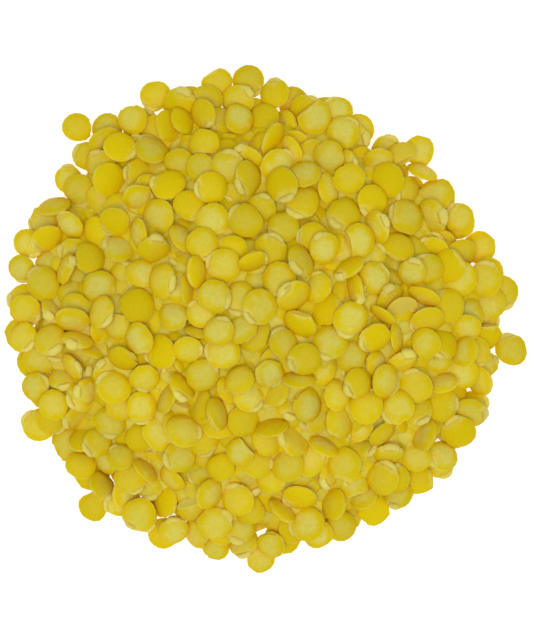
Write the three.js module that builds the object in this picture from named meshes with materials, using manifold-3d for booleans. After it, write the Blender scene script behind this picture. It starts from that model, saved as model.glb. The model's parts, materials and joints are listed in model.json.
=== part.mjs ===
// A loose heap of dry yellow lentils, husked and whole, poured out on a flat surface.
// Millimetres, +Z up, resting on z = 0. One solid: a low core with the lentils that show fused on.
//
// The lentils aren't placed by hand. They come down one after another on a height map of the
// heap so far, and each shifts and tips a little until it finds a lower rest, as poured lentils
// do. The draws come from a small seeded generator, so the heap is the same on every run.

import * as THREE from 'three';
import { mergeVertices } from 'three/addons/utils/BufferGeometryUtils.js';
import Module from 'manifold-3d';

const wasm = await Module();
wasm.setup();

// ------------------------------------------------------------ sizes, mm

const LENTIL_DIAMETER = 4.7; // mean, across the face
const DIAMETER_SPREAD = 0.1; // a bell draw of 1 changes the diameter by this share
const PLUMPNESS = 0.38; // thickness of a mean lentil over its diameter
const PLUMPNESS_SPREAD = 0.03;
const SMALL_ARE_PLUMPER = 0.2; // plumpness lost for each share of extra diameter

const HEAP_HEIGHT = 12.5; // of the rounded form that the lentils fill, not of the topmost lentil
// Radius of the heap every 15 degrees, from +X towards +Y.
const HEAP_RADII = [
  36.2, 35, 33.4, 33.2, 32.8, 34.2, 34.8, 35.4, 36.4, 37.2, 36.9, 37.5,
  37.4, 36.6, 36.8, 36.4, 35.8, 34.8, 34.6, 34.1, 33.9, 34.4, 34.8, 35,
];

// Lentils that lie out beyond the others: x, y and diameter.
const STRAYS = [
  [34, 3.9, 5], [31, 10.4, 4.8], [22.2, 24.3, 4.5], [8.7, 29.9, 4.6],
  [-2.5, 34.5, 4.6], [-7.1, 34, 4.6], [-15.9, 32.3, 4.4], [-22.9, 27.5, 4.5],
  [-27.2, 27.7, 4.3], [-32, 14.2, 4.4], [-34.2, 11, 4.4], [-35.4, 7.3, 4.1],
  [-35.6, -2.2, 4.4], [-32.8, -15.4, 4.8], [-24.9, -27.1, 4.3], [-21.4, -26.8, 4.1],
  [-14.8, -31, 4.5], [-7.2, -32.8, 4.2], [-0.7, -34.7, 4], [19, -24.8, 4.9],
  [25, -21, 4.4], [31.6, -6.6, 4], [35.5, -4.5, 4.6],
];

// ------------------------------------------------------------ the heap's form

// The outline is a smooth closed curve through HEAP_RADII.
function heapRadius(angle) {
  const count = HEAP_RADII.length;
  const place = ((angle / (2 * Math.PI)) * count + 2 * count) % count;
  const step = Math.floor(place);
  const t = place - step;
  const before = HEAP_RADII[(step + count - 1) % count];
  const here = HEAP_RADII[step];
  const next = HEAP_RADII[(step + 1) % count];
  const after = HEAP_RADII[(step + 2) % count];
  const bend = 2 * before - 5 * here + 4 * next - after;
  const twist = 3 * here - before - 3 * next + after;
  return here + 0.5 * t * (next - before + t * (bend + t * twist));
}

// Height of the rounded form that the lentils fill up. Its sides are parabolas.
function heapForm(x, y) {
  const share = Math.hypot(x, y) / heapRadius(Math.atan2(y, x));
  return share < 1 ? HEAP_HEIGHT * (1 - share * share) : 0;
}

// ------------------------------------------------------------ the height map

const CELL = 0.3;
const HALF_SPAN = 43.2; // the map reaches this far from the middle, each way
const CELLS = Math.round((2 * HALF_SPAN) / CELL);
const LOOSE_DEPTH = 5; // of loose lentils over the filled-in middle

function cellPlace(index) {
  return (index + 0.5) * CELL - HALF_SPAN;
}

function cellIndex(place) {
  return Math.min(CELLS - 1, Math.max(0, Math.floor((place + HALF_SPAN) / CELL)));
}

// Height of the heap so far over each cell, row by row from -Y to +Y.
const surface = new Float64Array(CELLS * CELLS);
for (let row = 0; row < CELLS; row++) {
  for (let column = 0; column < CELLS; column++) {
    const form = heapForm(cellPlace(column), cellPlace(row));
    surface[row * CELLS + column] = Math.max(0, form - LOOSE_DEPTH);
  }
}

// The heights that a lentil spans, from its middle, at dx, dy from it. It counts as a flattened
// sphere round its axis, so the two heights solve a quadratic.
function spanOver({ radius, half, axis }, dx, dy) {
  const flatness = 1 / (half * half) - 1 / (radius * radius);
  const along = axis[0] * dx + axis[1] * dy;
  const a = 1 / (radius * radius) + flatness * axis[2] * axis[2];
  const b = flatness * axis[2] * along;
  const c = (dx * dx + dy * dy) / (radius * radius) + flatness * along * along - 1;
  const square = b * b - a * c;
  if (square <= 0) return null;
  const root = Math.sqrt(square);
  return { low: (-b - root) / a, high: (-b + root) / a };
}

function eachCellUnder(lentil, visit) {
  const { x, y, radius } = lentil;
  for (let row = cellIndex(y - radius); row <= cellIndex(y + radius); row++) {
    for (let column = cellIndex(x - radius); column <= cellIndex(x + radius); column++) {
      const span = spanOver(lentil, cellPlace(column) - x, cellPlace(row) - y);
      if (span) visit(row * CELLS + column, span);
    }
  }
}

// Height of the middle of a lentil that has come down on the heap.
function restHeight(lentil) {
  let height = 0;
  eachCellUnder(lentil, (cell, span) => {
    height = Math.max(height, surface[cell] - span.low);
  });
  return height;
}

// ------------------------------------------------------------ one lentil

const SEED = 2;
let state = SEED;

function random() {
  state = (state * 48271) % 2147483647;
  return state / 2147483647;
}

// A bell-shaped draw from -2 to 2, mostly within 0.6 of zero.
function bell() {
  return random() + random() + random() + random() - 2;
}

// An axis that leans from upright by a bell draw times the usual lean, in radians.
const STEEPEST = 1.1;
function leaningAxis(usualLean) {
  const lean = Math.min(usualLean * Math.abs(bell()), STEEPEST);
  const way = 2 * Math.PI * random();
  return [Math.sin(lean) * Math.cos(way), Math.sin(lean) * Math.sin(way), Math.cos(lean)];
}

function newLentil(x, y, usualLean) {
  const growth = DIAMETER_SPREAD * bell();
  const plumpness = PLUMPNESS - SMALL_ARE_PLUMPER * growth + PLUMPNESS_SPREAD * bell();
  const radius = (LENTIL_DIAMETER / 2) * (1 + growth);
  return { x, y, z: 0, radius, half: radius * plumpness, axis: leaningAxis(usualLean) };
}

function tipped(axis, u, v) {
  const length = Math.hypot(axis[0] + u, axis[1] + v, axis[2]);
  return [(axis[0] + u) / length, (axis[1] + v) / length, axis[2] / length];
}

const lentils = [];

// How lentils come down: their usual lean in radians, how many moves they try, and how far the
// first of these may shift them, in mm, and tip them, in radians.
const STRAY = { lean: 0.12, tries: 30, shift: 0.1, tip: 0.3 };
const RIM = { lean: 0.12, tries: 12, shift: 0.5, tip: 0.3 };
const LOOSE = { lean: 1.1, tries: 140, shift: 3, tip: 0.15 };

// Moves a lentil to lower and lower rests, then adds it to the heap. It doesn't leave the
// outline. One that ends higher above the form than is allowed rolls off.
const LEAST_DROP = 1e-6; // mm
function settle(lentil, { tries, shift, tip }, highest = Infinity) {
  let best = { ...lentil, z: restHeight(lentil) };
  for (let k = 0; k < tries; k++) {
    const fade = 1 - k / tries;
    const x = best.x + shift * fade * (2 * random() - 1);
    const y = best.y + shift * fade * (2 * random() - 1);
    const u = tip * fade * (2 * random() - 1);
    const v = tip * fade * (2 * random() - 1);
    const limit = Math.max(heapRadius(Math.atan2(y, x)) - best.radius, Math.hypot(best.x, best.y));
    if (Math.hypot(x, y) > limit) continue;
    const moved = { ...best, x, y, axis: tipped(best.axis, u, v) };
    moved.z = restHeight(moved);
    if (moved.z < best.z - LEAST_DROP) best = moved;
  }
  if (best.z > heapForm(best.x, best.y) + highest) return false;
  eachCellUnder(best, (cell, span) => {
    surface[cell] = Math.max(surface[cell], best.z + span.high);
  });
  lentils.push(best);
  return true;
}

// ------------------------------------------------------------ the pour

// The strays stay close to where they are put, and tip where they lie on each other.
function layStrays() {
  for (const [x, y, diameter] of STRAYS) {
    const lentil = newLentil(x, y, STRAY.lean);
    lentil.radius = diameter / 2;
    settle(lentil, STRAY);
  }
}

// A ragged ring of lentils just inside the outline, nearly touching. Where a stray is in the
// way, the place is left to the lentils that come after.
const RAGGEDNESS = 0.35; // mm inwards for a bell draw of 1
const ON_TOP = 0.7; // a lentil raised by this much lies on another one
const SIDESTEP = 0.5; // along the outline, past a stray
function layRim() {
  let angle = 0;
  while (angle < 2 * Math.PI) {
    const lentil = newLentil(0, 0, RIM.lean);
    const distance = heapRadius(angle) - lentil.radius - RAGGEDNESS * Math.abs(bell());
    lentil.x = distance * Math.cos(angle);
    lentil.y = distance * Math.sin(angle);
    const free = restHeight(lentil) < lentil.half + ON_TOP;
    if (free) settle(lentil, RIM);
    const spacing = 2 * lentil.radius * (0.92 + 0.18 * random());
    angle += (free ? spacing : SIDESTEP) / distance;
  }
}

// Mean height of the heap so far within a square round x, y.
function meanHeight(x, y, reach) {
  let sum = 0;
  let count = 0;
  for (let row = cellIndex(y - reach); row <= cellIndex(y + reach); row++) {
    for (let column = cellIndex(x - reach); column <= cellIndex(x + reach); column++) {
      sum += surface[row * CELLS + column];
      count += 1;
    }
  }
  return sum / count;
}

// The place furthest below the form, of a few drawn evenly over the heap.
const SITES = 30;
const SITE_REACH = 1.2; // the middle of a lentil
const SITE_MARGIN = 2.6; // inside the outline
function lowestSite() {
  let lowest = { need: -Infinity, x: 0, y: 0 };
  for (let k = 0; k < SITES; k++) {
    const angle = 2 * Math.PI * random();
    const distance = (heapRadius(angle) - SITE_MARGIN) * Math.sqrt(random());
    const x = distance * Math.cos(angle);
    const y = distance * Math.sin(angle);
    const need = heapForm(x, y) - meanHeight(x, y, SITE_REACH);
    if (need > lowest.need) lowest = { need, x, y };
  }
  return lowest;
}

const ENOUGH = 0.8; // a place this little below the form takes no more
const PROUD = 1.8; // the middle of a lentil stays this close above the form
const REFUSALS = 300; // in a row, before the heap is full

function pour() {
  let refused = 0;
  while (refused < REFUSALS) {
    const { need, x, y } = lowestSite();
    if (need < ENOUGH) {
      refused += 1;
      continue;
    }
    const kept = settle(newLentil(x, y, LOOSE.lean), LOOSE, PROUD);
    refused = kept ? 0 : refused + 1;
  }
}

layStrays();
layRim();
const edgeCount = lentils.length; // the strays and the rim, first in the list
pour();

// ------------------------------------------------------------ the solid

// Cells in which each lentil is the topmost.
function cellsShown() {
  const cells = lentils.map(() => 0);
  const height = new Float64Array(CELLS * CELLS);
  const topmost = new Int32Array(CELLS * CELLS).fill(-1);
  lentils.forEach((lentil, index) => {
    eachCellUnder(lentil, (cell, span) => {
      if (lentil.z + span.high <= height[cell]) return;
      height[cell] = lentil.z + span.high;
      topmost[cell] = index;
    });
  });
  for (const index of topmost) if (index >= 0) cells[index] += 1;
  return cells;
}

// The faces of a closed geometry share their corners once only the positions are left.
function mergedCorners(geometry) {
  geometry.deleteAttribute('normal');
  geometry.deleteAttribute('uv');
  return mergeVertices(geometry);
}

// A closed geometry as a solid. Faces of no area, as at the poles of a lathe, are left out.
function toSolid(geometry) {
  const { index, attributes } = mergedCorners(geometry);
  const corners = [];
  for (let k = 0; k < index.count; k += 3) {
    const face = [index.getX(k), index.getX(k + 1), index.getX(k + 2)];
    if (new Set(face).size === 3) corners.push(...face);
  }
  return new wasm.Manifold(new wasm.Mesh({
    numProp: 3,
    vertProperties: attributes.position.array,
    triVerts: new Uint32Array(corners),
  }));
}

const UP = new THREE.Vector3(0, 1, 0); // the axis of a lathe
const LENTIL_SIDES = 7;
const SWELL = 0.12; // added all round, so that lentils which touch grow together
const FACET_TURN = 1.9; // radians from one lentil's corners to the next one's

// Radius 1 and half thickness 1 before scaling: a foot, the rim, a shoulder and the top.
const facetedLentil = new THREE.LatheGeometry(
  [[0, -1], [1, 0], [0.72, 0.69], [0, 1]].map(([across, up]) => new THREE.Vector2(across, up)),
  LENTIL_SIDES,
);

function lentilSolid(lentil, index) {
  const radius = lentil.radius + SWELL;
  const turn = new THREE.Quaternion().setFromUnitVectors(UP, new THREE.Vector3(...lentil.axis));
  turn.multiply(new THREE.Quaternion().setFromAxisAngle(UP, index * FACET_TURN));
  const place = new THREE.Matrix4().compose(
    new THREE.Vector3(lentil.x, lentil.y, lentil.z),
    turn,
    new THREE.Vector3(radius, lentil.half + SWELL, radius),
  );
  return toSolid(facetedLentil.clone().applyMatrix4(place));
}

// The core is a lathed disc whose corners are moved to the heap's outline and up to the mean
// height of the lentils round them.
const CORE_SIDES = 28;
const CORE_STEPS = 5;
const CORE_MARGIN = 1.4; // inside the heap's outline
const CORE_EDGE = 0.9; // its least height
const CORE_REACH = 2.4; // heights this far round a corner count
const CORE_FOOT = 1; // below z = 0, cut off later

function coreSolid() {
  const profile = [new THREE.Vector2(0, 0), new THREE.Vector2(1, 0)];
  for (let step = CORE_STEPS; step >= 0; step--) profile.push(new THREE.Vector2(step / CORE_STEPS, 1));
  const core = mergedCorners(new THREE.LatheGeometry(profile, CORE_SIDES).rotateX(Math.PI / 2));
  const { position } = core.attributes;
  for (let k = 0; k < position.count; k++) {
    const share = Math.hypot(position.getX(k), position.getY(k));
    const angle = Math.atan2(position.getY(k), position.getX(k));
    const distance = share * (heapRadius(angle) - CORE_MARGIN);
    const x = distance * Math.cos(angle);
    const y = distance * Math.sin(angle);
    const top = Math.max(CORE_EDGE, meanHeight(x, y, CORE_REACH));
    position.setXYZ(k, x, y, position.getZ(k) > 0.5 ? top : -CORE_FOOT);
  }
  return toSolid(core);
}

// Everything above the surface that the heap lies on.
function aboveGround() {
  const room = new THREE.BoxGeometry(2 * HALF_SPAN, 2 * HALF_SPAN, HALF_SPAN);
  return toSolid(room.translate(0, 0, HALF_SPAN / 2));
}

// Fusing can leave a loose scrap, or seal a hollow, whose wall is a piece of its own with a
// volume below zero. Keeping only the largest piece drops the scraps and fills the hollows.
function largestPiece(solid) {
  return solid.decompose().reduce((best, piece) => (piece.volume() > best.volume() ? piece : best));
}

// The strays and the rim, and then the lentils that show most from above.
const FUSED_LENTILS = 236;

function heapSolid() {
  const cells = cellsShown().fill(Infinity, 0, edgeCount);
  const order = [...lentils.keys()].sort((a, b) => cells[b] - cells[a] || a - b);
  let solid = coreSolid();
  for (const index of order.slice(0, FUSED_LENTILS)) {
    solid = solid.add(lentilSolid(lentils[index], index));
  }
  return largestPiece(solid.intersect(aboveGround()));
}

function toGeometry(solid) {
  const { vertProperties, triVerts } = solid.getMesh();
  const geometry = new THREE.BufferGeometry();
  geometry.setAttribute('position', new THREE.BufferAttribute(vertProperties, 3));
  geometry.setIndex(new THREE.BufferAttribute(triVerts, 1));
  geometry.computeVertexNormals();
  return geometry;
}

const lentilYellow = new THREE.MeshStandardMaterial({ color: '#cbb527', roughness: 0.6, metalness: 0 });

const heap = new THREE.Mesh(toGeometry(heapSolid()), lentilYellow);
heap.name = 'lentil_heap';

const group = new THREE.Group();
group.add(heap);
export default group;
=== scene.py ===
# %% [markdown]
# # A heap of dry yellow lentils
#
# Husked yellow lentils are small, thick lenses, about 4.7 mm across, poured out into a low
# heap. Several hundred of them show, no two alike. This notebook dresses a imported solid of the
# heap: it lets the same lentils come down in the same places, models a few kinds of lentil by
# hand, and copies each kind to all of its places.

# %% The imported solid
import json
import math

import bmesh
import bpy
import numpy as np
from mathutils import Euler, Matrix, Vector

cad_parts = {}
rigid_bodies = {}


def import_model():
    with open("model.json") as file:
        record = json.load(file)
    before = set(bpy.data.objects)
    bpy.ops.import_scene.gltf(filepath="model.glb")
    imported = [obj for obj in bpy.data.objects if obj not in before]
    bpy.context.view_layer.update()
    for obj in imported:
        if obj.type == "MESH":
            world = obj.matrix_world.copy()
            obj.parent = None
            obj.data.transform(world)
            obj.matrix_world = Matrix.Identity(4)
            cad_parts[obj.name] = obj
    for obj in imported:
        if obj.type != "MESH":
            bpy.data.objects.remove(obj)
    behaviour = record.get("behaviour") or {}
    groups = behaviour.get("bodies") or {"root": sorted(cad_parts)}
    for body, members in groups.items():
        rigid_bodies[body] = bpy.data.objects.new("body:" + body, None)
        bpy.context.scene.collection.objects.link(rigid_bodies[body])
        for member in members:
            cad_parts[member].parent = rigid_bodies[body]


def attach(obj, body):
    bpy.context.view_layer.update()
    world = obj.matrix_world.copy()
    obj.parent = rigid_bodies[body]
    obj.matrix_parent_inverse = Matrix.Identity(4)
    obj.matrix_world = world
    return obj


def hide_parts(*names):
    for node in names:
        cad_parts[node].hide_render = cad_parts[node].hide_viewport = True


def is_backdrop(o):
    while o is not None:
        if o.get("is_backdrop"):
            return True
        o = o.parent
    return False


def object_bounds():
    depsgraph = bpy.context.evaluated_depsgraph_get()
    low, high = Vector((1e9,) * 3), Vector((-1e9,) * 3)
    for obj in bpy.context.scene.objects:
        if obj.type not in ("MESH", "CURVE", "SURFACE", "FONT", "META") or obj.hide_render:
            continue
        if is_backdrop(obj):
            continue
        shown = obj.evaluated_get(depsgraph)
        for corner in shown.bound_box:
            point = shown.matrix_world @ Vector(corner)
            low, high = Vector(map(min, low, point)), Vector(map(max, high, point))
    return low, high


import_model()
bpy.ops.object.select_all(action="DESELECT")
cad_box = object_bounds()
cad_size = (cad_box[1] - cad_box[0]) * 1000  # mm
print("solid, mm:", [round(side, 1) for side in cad_size])

# %% [markdown]
# ## The outline
#
# The heap is nearly round, with slow bulges and flats. Two dozen radii give its outline, one
# every 15 degrees, and a Catmull-Rom curve runs smoothly through them. The heap's form is a
# low dome whose sides are parabolas. All sizes of the heap are in millimetres here, and a
# finished piece is scaled to metres as it is made.

# %% The outline and the form
MM = 0.001
HEAP_HEIGHT = 12.5  # of the form that the lentils fill, not of the topmost lentil
HEAP_RADII = np.array([
    36.2, 35, 33.4, 33.2, 32.8, 34.2, 34.8, 35.4, 36.4, 37.2, 36.9, 37.5,
    37.4, 36.6, 36.8, 36.4, 35.8, 34.8, 34.6, 34.1, 33.9, 34.4, 34.8, 35,
])


def heap_radius(angle):
    """Distance of the outline from the middle, in the direction of an angle or an array of them."""
    count = len(HEAP_RADII)
    place = ((angle / (2 * math.pi)) * count + 2 * count) % count
    step = np.floor(place).astype(int)
    t = place - step
    before, here, after, later = (HEAP_RADII[(step + k) % count] for k in (-1, 0, 1, 2))
    bend = 2 * before - 5 * here + 4 * after - later
    twist = 3 * here - before - 3 * after + later
    return here + 0.5 * t * (after - before + t * (bend + t * twist))


def heap_form(x, y):
    """Height of the form over x, y."""
    share = np.hypot(x, y) / heap_radius(np.arctan2(y, x))
    return np.where(share < 1, HEAP_HEIGHT * (1 - share * share), 0)


print("outline, mm:", HEAP_RADII.min(), "to", HEAP_RADII.max(), "from the middle")

# %% [markdown]
# ## Height map
#
# Lentils could be dropped by Blender's rigid bodies, but several hundred bodies take minutes
# and may stop in other places on another computer. A height map is enough: it keeps the height
# of the heap so far over each 0.3 mm cell. A lentil counts as a flattened sphere round its own
# axis, so the heights that it spans over a cell solve a quadratic, and numpy solves it for all
# the cells under a lentil at once.

# %% The height map
CELL = 0.3
HALF_SPAN = 43.2  # the map reaches this far from the middle, each way
CELLS = round(2 * HALF_SPAN / CELL)
LOOSE_DEPTH = 5  # of loose lentils over the filled-in middle

cell_places = (np.arange(CELLS) + 0.5) * CELL - HALF_SPAN
surface = np.maximum(0, heap_form(cell_places[None, :], cell_places[:, None]) - LOOSE_DEPTH)


def cell_index(places):
    """Row or column of a place, or of an array of them."""
    return np.clip(np.floor((places + HALF_SPAN) / CELL).astype(int), 0, CELLS - 1)


def cells_around(x, y, reach):
    """The rows and columns of the square that reaches this far from x, y."""
    rows = slice(cell_index(y - reach), cell_index(y + reach) + 1)
    columns = slice(cell_index(x - reach), cell_index(x + reach) + 1)
    return rows, columns


def spans_under(lentil):
    """The cells round a lentil, which of them it covers, and its lowest and highest there."""
    rows, columns = cells_around(lentil["x"], lentil["y"], lentil["radius"])
    dx = cell_places[None, columns] - lentil["x"]
    dy = cell_places[rows, None] - lentil["y"]
    radius, half, axis = lentil["radius"], lentil["half"], lentil["axis"]
    flatness = 1 / (half * half) - 1 / (radius * radius)
    along = axis[0] * dx + axis[1] * dy
    a = 1 / (radius * radius) + flatness * axis[2] * axis[2]
    b = flatness * axis[2] * along
    c = (dx * dx + dy * dy) / (radius * radius) + flatness * along * along - 1
    square = b * b - a * c
    root = np.sqrt(np.maximum(square, 0))
    return (rows, columns), square > 0, (-b - root) / a, (-b + root) / a


def rest_height(lentil):
    """Height of the middle of a lentil that has come down on the heap."""
    cells, covered, low, _ = spans_under(lentil)
    return float(np.max(surface[cells] - low, initial=0, where=covered))


print("height map:", CELLS, "by", CELLS, "cells, up to", round(surface.max(), 1), "mm")

# %% [markdown]
# ## One lentil
#
# Each lentil gets its own diameter, thickness and lean from a small seeded generator, so the
# heap is the same on every run. Lentils grade from small plump ones to wide flat ones.

# %% Drawing a lentil
LENTIL_DIAMETER = 4.7  # mean, across the face
DIAMETER_SPREAD = 0.1  # a bell draw of 1 changes the diameter by this share
PLUMPNESS = 0.38  # thickness of a mean lentil over its diameter
PLUMPNESS_SPREAD = 0.03
SMALL_ARE_PLUMPER = 0.2  # plumpness lost for each share of extra diameter
STEEPEST = 1.1  # radians, the most that a lentil leans


def seeded_draws(seed):
    """Endless draws from 0 to 1."""
    state = seed
    while True:
        state = state * 48271 % 2147483647
        yield state / 2147483647


draws = seeded_draws(seed=2)


def draw():
    return next(draws)


def bell():
    """A bell-shaped draw from -2 to 2, mostly within 0.6 of zero."""
    return draw() + draw() + draw() + draw() - 2


def leaning_axis(usual_lean):
    lean = min(usual_lean * abs(bell()), STEEPEST)
    way = 2 * math.pi * draw()
    return math.sin(lean) * math.cos(way), math.sin(lean) * math.sin(way), math.cos(lean)


def new_lentil(x, y, usual_lean):
    growth = DIAMETER_SPREAD * bell()
    plumpness = PLUMPNESS - SMALL_ARE_PLUMPER * growth + PLUMPNESS_SPREAD * bell()
    radius = (LENTIL_DIAMETER / 2) * (1 + growth)
    axis = leaning_axis(usual_lean)
    return {"x": x, "y": y, "z": 0, "radius": radius, "half": radius * plumpness, "axis": axis}


# %% [markdown]
# ## Coming to rest
#
# A poured lentil rolls and tips until it lies low. Here it tries small moves, each a shift and
# a tip, and keeps those that let its middle sink. The moves get smaller with each try. The
# loose ones shift far but tip little, so some stay as steep as they fell, between the others.

# %% Coming to rest
STRAY = {"lean": 0.12, "tries": 30, "shift": 0.1, "tip": 0.3}  # radians, count, mm, radians
RIM = {"lean": 0.12, "tries": 12, "shift": 0.5, "tip": 0.3}
LOOSE = {"lean": 1.1, "tries": 140, "shift": 3, "tip": 0.15}
LEAST_DROP = 1e-6  # mm, for a move to be kept

lentils = []


def tipped(axis, u, v):
    x, y, z = axis[0] + u, axis[1] + v, axis[2]
    length = math.sqrt(x * x + y * y + z * z)
    return x / length, y / length, z / length


def settle(lentil, manner, highest=math.inf):
    """Lets a lentil come to rest on the heap. Returns whether it stayed on."""
    best = {**lentil, "z": rest_height(lentil)}
    for k in range(manner["tries"]):
        fade = 1 - k / manner["tries"]
        x = best["x"] + manner["shift"] * fade * (2 * draw() - 1)
        y = best["y"] + manner["shift"] * fade * (2 * draw() - 1)
        u = manner["tip"] * fade * (2 * draw() - 1)
        v = manner["tip"] * fade * (2 * draw() - 1)
        inside = heap_radius(math.atan2(y, x)) - best["radius"]
        if math.hypot(x, y) > max(inside, math.hypot(best["x"], best["y"])):
            continue
        moved = {**best, "x": x, "y": y, "axis": tipped(best["axis"], u, v)}
        moved["z"] = rest_height(moved)
        if moved["z"] < best["z"] - LEAST_DROP:
            best = moved
    if best["z"] > heap_form(best["x"], best["y"]) + highest:
        return False
    cells, covered, _, high = spans_under(best)
    surface[cells] = np.where(covered, np.maximum(surface[cells], best["z"] + high), surface[cells])
    lentils.append(best)
    return True


# %% [markdown]
# ## The pour
#
# First the edge: the strays that lie out beyond the others, each in its own place, and then a
# ragged ring just inside the outline. After that each lentil goes where the heap is furthest
# below its form, until no place needs another one.

# %% The edge of the heap
STRAYS = [  # x, y and diameter
    (34, 3.9, 5), (31, 10.4, 4.8), (22.2, 24.3, 4.5), (8.7, 29.9, 4.6),
    (-2.5, 34.5, 4.6), (-7.1, 34, 4.6), (-15.9, 32.3, 4.4), (-22.9, 27.5, 4.5),
    (-27.2, 27.7, 4.3), (-32, 14.2, 4.4), (-34.2, 11, 4.4), (-35.4, 7.3, 4.1),
    (-35.6, -2.2, 4.4), (-32.8, -15.4, 4.8), (-24.9, -27.1, 4.3), (-21.4, -26.8, 4.1),
    (-14.8, -31, 4.5), (-7.2, -32.8, 4.2), (-0.7, -34.7, 4), (19, -24.8, 4.9),
    (25, -21, 4.4), (31.6, -6.6, 4), (35.5, -4.5, 4.6),
]
for x, y, diameter in STRAYS:
    lentil = new_lentil(x, y, STRAY["lean"])
    lentil["radius"] = diameter / 2
    settle(lentil, STRAY)

RAGGEDNESS = 0.35  # mm inwards for a bell draw of 1
ON_TOP = 0.7  # a lentil raised by this much lies on another one
SIDESTEP = 0.5  # along the outline, past a stray
CLOSEST = 0.92  # of a lentil's width, from its middle to the next one's
LOOSENESS = 0.18  # of its width, at most, that they lie further apart
angle = 0
while angle < 2 * math.pi:
    lentil = new_lentil(0, 0, RIM["lean"])
    distance = heap_radius(angle) - lentil["radius"] - RAGGEDNESS * abs(bell())
    lentil["x"] = distance * math.cos(angle)
    lentil["y"] = distance * math.sin(angle)
    free = rest_height(lentil) < lentil["half"] + ON_TOP
    if free:
        settle(lentil, RIM)
    spacing = 2 * lentil["radius"] * (CLOSEST + LOOSENESS * draw())
    angle += (spacing if free else SIDESTEP) / distance
print(len(STRAYS), "strays,", len(lentils) - len(STRAYS), "lentils along the edge")

# %% The pour
SITES = 30  # places looked at for each lentil
SITE_REACH = 1.2  # the middle of a lentil
SITE_MARGIN = 2.6  # inside the outline
ENOUGH = 0.8  # a place this little below the form takes no more
PROUD = 1.8  # the middle of a lentil stays this close above the form
REFUSALS = 300  # in a row, before the heap is full
TILTED = 30  # degrees, from where a lean is plain to see


def lowest_site():
    """The place furthest below the form, of a few drawn evenly over the heap."""
    lowest = (-math.inf, 0, 0)
    for _ in range(SITES):
        angle = 2 * math.pi * draw()
        distance = (heap_radius(angle) - SITE_MARGIN) * math.sqrt(draw())
        x = distance * math.cos(angle)
        y = distance * math.sin(angle)
        need = heap_form(x, y) - surface[cells_around(x, y, SITE_REACH)].mean()
        if need > lowest[0]:
            lowest = (need, x, y)
    return lowest


refused = 0
while refused < REFUSALS:
    need, x, y = lowest_site()
    if need < ENOUGH:
        refused += 1
        continue
    kept = settle(new_lentil(x, y, LOOSE["lean"]), LOOSE, PROUD)
    refused = 0 if kept else refused + 1
leans = [math.degrees(math.acos(lentil["axis"][2])) for lentil in lentils]
tilted = sum(lean > TILTED for lean in leans)
print(len(lentils), "lentils,", tilted, "of them lean over", TILTED, "degrees")

# %% [markdown]
# ## Filling the deep gaps
#
# In a real heap small lentils trickle into every gap. A height map can't let them do so,
# because it knows nothing of what is under a lentil. So where the heap is still much deeper
# than the heap round it, one more lentil is sunk between the others, deepest place first. Its
# sides cross theirs, which shows only on a close look.

# %% Filling the deep gaps
ROUND_ABOUT = 2.4  # mm each way, the heap round a place
GAP_DEPTH = 1.6  # below the heap round it, for a gap to be filled
SUNK = 1.2  # from the heap round it down to the middle of the filling lentil's top
FILLER_LEAN = 0.5  # usual lean out of the slope there, radians
FILLER_TRIES = 8  # of which the one that hides least of the others is kept
FLOOR_SHOWS = 3.5  # where the form is lower than this, near the edge, gaps stay open
SLOPE_REACH = 4  # cells each way, over which the slope is taken
CLEAR_ABOVE = 1  # mm over the heap round it, from where a lentil hides nothing more


def mean_round_about(heights):
    """Mean height of the square of cells round each cell."""
    reach = round(ROUND_ABOUT / CELL)
    width = 2 * reach + 1
    for _ in range(2):  # along the columns, then along the rows
        sums = np.cumsum(np.pad(heights, ((reach + 1, reach), (0, 0)), mode="edge"), axis=0)
        heights = ((sums[width:] - sums[:-width]) / width).T
    return heights


def sunk_lentil(x, y, top, slope):
    """A lentil along the slope whose top is at a given height, above the floor all over."""
    lentil = new_lentil(x, y, FILLER_LEAN)
    lentil["axis"] = tipped(lentil["axis"], *slope)
    upright = lentil["axis"][2]
    level = math.sqrt(1 - upright * upright)
    middle_half = 1 / math.hypot(level / lentil["radius"], upright / lentil["half"])
    reach_down = math.hypot(level * lentil["radius"], upright * lentil["half"])
    lentil["z"] = max(top - middle_half, reach_down)
    return lentil


def hidden_by(lentil):
    """How much of the others a lentil would hide that lies as high as the heap round it."""
    cells, covered, _, high = spans_under(lentil)
    rise = np.minimum(lentil["z"] + high, around[cells] + CLEAR_ABOVE) - surface[cells]
    shows = surface[cells] > around[cells] - GAP_DEPTH / 2
    return float(np.sum(rise, where=covered & shows & (rise > 0)))


poured = len(lentils)
inside = heap_form(cell_places[None, :], cell_places[:, None]) > FLOOR_SHOWS
while True:
    around = mean_round_about(surface)
    gaps = np.where(inside, around - surface, 0)
    row, column = np.unravel_index(gaps.argmax(), gaps.shape)
    if gaps[row, column] < GAP_DEPTH:
        break
    x, y, top = cell_places[column], cell_places[row], around[row, column] - SUNK
    rows = slice(row - SLOPE_REACH, row + SLOPE_REACH + 1)
    columns = slice(column - SLOPE_REACH, column + SLOPE_REACH + 1)
    rises = np.gradient(around[rows, columns], CELL)
    slope = (-rises[1].mean(), -rises[0].mean())
    best = min((sunk_lentil(x, y, top, slope) for _ in range(FILLER_TRIES)), key=hidden_by)
    cells, covered, _, high = spans_under(best)
    surface[cells] = np.where(covered, np.maximum(surface[cells], best["z"] + high), surface[cells])
    lentils.append(best)
print(len(lentils) - poured, "more lentils in the gaps")

# %% [markdown]
# ## Selecting in code
#
# Operators act on what is selected, as a hand with a mouse would. Two helpers do what the
# mouse does: one opens a piece in edit mode, the other selects faces by their middle and
# normal. The kinds of lentil are modelled at a thousand times their size, one Blender unit for
# a millimetre, because tools such as inset and bisect are coarse below that.

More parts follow.
